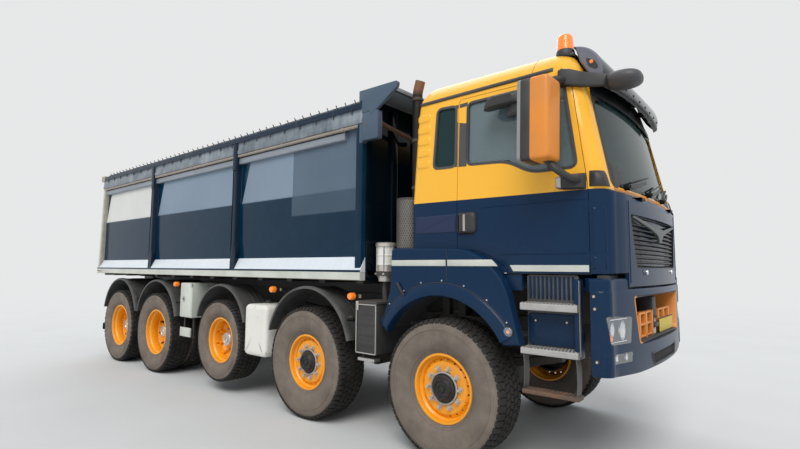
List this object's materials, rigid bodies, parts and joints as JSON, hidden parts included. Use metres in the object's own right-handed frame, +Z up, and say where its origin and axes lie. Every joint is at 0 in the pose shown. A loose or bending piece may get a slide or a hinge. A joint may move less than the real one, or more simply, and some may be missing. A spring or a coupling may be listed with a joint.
{
  "type": "dump truck",
  "caption": "Multi-axle dump truck with a short forward cab, twin steering axles, a raised lift axle, a tandem on twin wheels and a steel tipper body on a telescopic hoist.",
  "frame": {"origin": "middle of the truck's box, on the ground", "axes": "+X forward along the truck, +Y to its left, +Z up"},
  "size_m": [9.6572, 2.98, 3.585],
  "materials": {
    "tyre": "matt black rubber, dusty",
    "rim": "orange paint, dusty",
    "chassis": "dark grey chassis paint",
    "axle": "dark grey castings",
    "yellow": "deep yellow paint, gloss",
    "navy": "navy blue paint, gloss",
    "glass": "tinted glass",
    "lamp": "clear lamp covers",
    "black_plastic": "black plastic",
    "interior": "dark grey plastic and cloth",
    "step": "bare aluminium",
    "steel": "bare steel",
    "chrome_tube": "hard chrome"
  },
  "bodies": {
    "chassis": {"ladder_frame": "chassis", "tipping_subframe": "chassis", "axle_beams_and_shafts": "axle", "springs": "chassis", "engine_block": "axle", "cab_shell": "yellow", "cab_glass": "glass", "cab_interior": "interior", "bumper": "navy", "lamps": "lamp", "cab_fenders": "navy", "mudguards": "black_plastic", "entry_steps": "step", "side_boxes": "black_plastic", "side_tanks": "step", "exhaust_stack": "steel", "rear_bar": "chassis", "roof_fittings": "black_plastic", "sun_visor": "black_plastic"},
    "wheel_1_right": {"tyre_1_right": "tyre", "rim_1_right": "rim"},
    "knuckle_body_1_right": {"knuckle_1_right": "axle"},
    "wheel_1_left": {"tyre_1_left": "tyre", "rim_1_left": "rim"},
    "knuckle_body_1_left": {"knuckle_1_left": "axle"},
    "wheel_2_right": {"tyre_2_right": "tyre", "rim_2_right": "rim"},
    "knuckle_body_2_right": {"knuckle_2_right": "axle"},
    "wheel_2_left": {"tyre_2_left": "tyre", "rim_2_left": "rim"},
    "knuckle_body_2_left": {"knuckle_2_left": "axle"},
    "wheel_3_right": {"tyre_3_right": "tyre", "rim_3_right": "rim"},
    "wheel_3_left": {"tyre_3_left": "tyre", "rim_3_left": "rim"},
    "wheel_4_right": {"tyre_4_right": "tyre", "rim_4_right": "rim"},
    "wheel_4_left": {"tyre_4_left": "tyre", "rim_4_left": "rim"},
    "wheel_5_right": {"tyre_5_right": "tyre", "rim_5_right": "rim"},
    "wheel_5_left": {"tyre_5_left": "tyre", "rim_5_left": "rim"},
    "right_door": {"door_right": "yellow", "door_glass_right": "glass", "mirror_right": "black_plastic"},
    "left_door": {"door_left": "yellow", "door_glass_left": "glass", "mirror_left": "black_plastic"},
    "front_flap": {"front_flap": "navy"},
    "bed": {"bed_tub": "navy", "bed_frame": "chassis", "bed_side_rails": "navy"},
    "tailgate": {"tailgate": "navy"},
    "hoist_barrel": {"hoist_barrel": "chassis"},
    "hoist_stage_1": {"hoist_stage_1": "chrome_tube"},
    "hoist_stage_2": {"hoist_stage_2": "chrome_tube"},
    "hoist_stage_3": {"hoist_stage_3": "chrome_tube"},
    "hoist_stage_4": {"hoist_stage_4": "chrome_tube"}
  },
  "joints": [
    {"name": "steer_1_right", "type": "hinge", "parent": "chassis", "child": "knuckle_body_1_right", "pos_m": [3.199, -1, 0.6], "axis": [0, 0, 1], "range_deg": [-35, 35]},
    {"name": "spin_1_right", "type": "hinge", "parent": "knuckle_body_1_right", "child": "wheel_1_right", "pos_m": [3.199, -1, 0.6], "axis": [0, 1, 0], "continuous": true},
    {"name": "steer_1_left", "type": "hinge", "parent": "chassis", "child": "knuckle_body_1_left", "pos_m": [3.199, 1, 0.6], "axis": [0, 0, 1], "range_deg": [-35, 35]},
    {"name": "spin_1_left", "type": "hinge", "parent": "knuckle_body_1_left", "child": "wheel_1_left", "pos_m": [3.199, 1, 0.6], "axis": [0, 1, 0], "continuous": true},
    {"name": "steer_2_right", "type": "hinge", "parent": "chassis", "child": "knuckle_body_2_right", "pos_m": [1.391, -1, 0.6], "axis": [0, 0, 1], "range_deg": [-24.5, 24.5]},
    {"name": "spin_2_right", "type": "hinge", "parent": "knuckle_body_2_right", "child": "wheel_2_right", "pos_m": [1.391, -1, 0.6], "axis": [0, 1, 0], "continuous": true},
    {"name": "steer_2_left", "type": "hinge", "parent": "chassis", "child": "knuckle_body_2_left", "pos_m": [1.391, 1, 0.6], "axis": [0, 0, 1], "range_deg": [-24.5, 24.5]},
    {"name": "spin_2_left", "type": "hinge", "parent": "knuckle_body_2_left", "child": "wheel_2_left", "pos_m": [1.391, 1, 0.6], "axis": [0, 1, 0], "continuous": true},
    {"name": "spin_3_right", "type": "hinge", "parent": "chassis", "child": "wheel_3_right", "pos_m": [-0.384, -1, 0.665], "axis": [0, 1, 0], "continuous": true},
    {"name": "spin_3_left", "type": "hinge", "parent": "chassis", "child": "wheel_3_left", "pos_m": [-0.384, 1, 0.665], "axis": [0, 1, 0], "continuous": true},
    {"name": "spin_4_right", "type": "hinge", "parent": "chassis", "child": "wheel_4_right", "pos_m": [-2.268, -1, 0.61], "axis": [0, 1, 0], "continuous": true},
    {"name": "spin_4_left", "type": "hinge", "parent": "chassis", "child": "wheel_4_left", "pos_m": [-2.268, 1, 0.61], "axis": [0, 1, 0], "continuous": true},
    {"name": "spin_5_right", "type": "hinge", "parent": "chassis", "child": "wheel_5_right", "pos_m": [-3.67, -1, 0.61], "axis": [0, 1, 0], "continuous": true},
    {"name": "spin_5_left", "type": "hinge", "parent": "chassis", "child": "wheel_5_left", "pos_m": [-3.67, 1, 0.61], "axis": [0, 1, 0], "continuous": true},
    {"name": "right_door_swing", "type": "hinge", "parent": "chassis", "child": "right_door", "pos_m": [4.457, -1.12, 1.9], "axis": [0, 0, 1], "range_deg": [0, 70]},
    {"name": "left_door_swing", "type": "hinge", "parent": "chassis", "child": "left_door", "pos_m": [4.457, 1.12, 1.9], "axis": [0, 0, -1], "range_deg": [0, 70]},
    {"name": "front_flap_lift", "type": "hinge", "parent": "chassis", "child": "front_flap", "pos_m": [4.677, 0, 2.198], "axis": [0, -1, 0], "range_deg": [0, 75]},
    {"name": "bed_tip", "type": "hinge", "parent": "chassis", "child": "bed", "pos_m": [-4.301, 0, 1.4], "axis": [0, -1, 0], "range_deg": [0, 45]},
    {"name": "tailgate_swing", "type": "hinge", "parent": "bed", "child": "tailgate", "pos_m": [-4.70707, 0, 3.3], "axis": [0, 1, 0], "range_deg": [0, 70]},
    {"name": "hoist_tilt", "type": "hinge", "parent": "chassis", "child": "hoist_barrel", "pos_m": [-1.651, 0, 0.82], "axis": [0, -1, 0], "range_deg": [0, 21.6]},
    {"name": "hoist_slide_1", "type": "slide", "parent": "hoist_barrel", "child": "hoist_stage_1", "axis": [0.083, 0, 0.9965], "range_m": [0, 0.5034]},
    {"name": "hoist_slide_2", "type": "slide", "parent": "hoist_stage_1", "child": "hoist_stage_2", "axis": [0.083, 0, 0.9965], "range_m": [0, 0.5034]},
    {"name": "hoist_slide_3", "type": "slide", "parent": "hoist_stage_2", "child": "hoist_stage_3", "axis": [0.083, 0, 0.9965], "range_m": [0, 0.5034]},
    {"name": "hoist_slide_4", "type": "slide", "parent": "hoist_stage_3", "child": "hoist_stage_4", "axis": [0.083, 0, 0.9965], "range_m": [0, 0.5034]}
  ],
  "couplings": [
    {"joint": "steer_1_left", "follows": "steer_1_right", "ratio": 1},
    {"joint": "steer_2_right", "follows": "steer_1_right", "ratio": 0.7},
    {"joint": "steer_2_left", "follows": "steer_1_right", "ratio": 0.7},
    {"joint": "hoist_tilt", "follows": "bed_tip", "ratio": 0.4788},
    {"joint": "hoist_slide_1", "follows": "bed_tip", "m_per_rad": 0.6408},
    {"joint": "hoist_slide_2", "follows": "bed_tip", "m_per_rad": 0.6408},
    {"joint": "hoist_slide_3", "follows": "bed_tip", "m_per_rad": 0.6408},
    {"joint": "hoist_slide_4", "follows": "bed_tip", "m_per_rad": 0.6408}
  ]
}
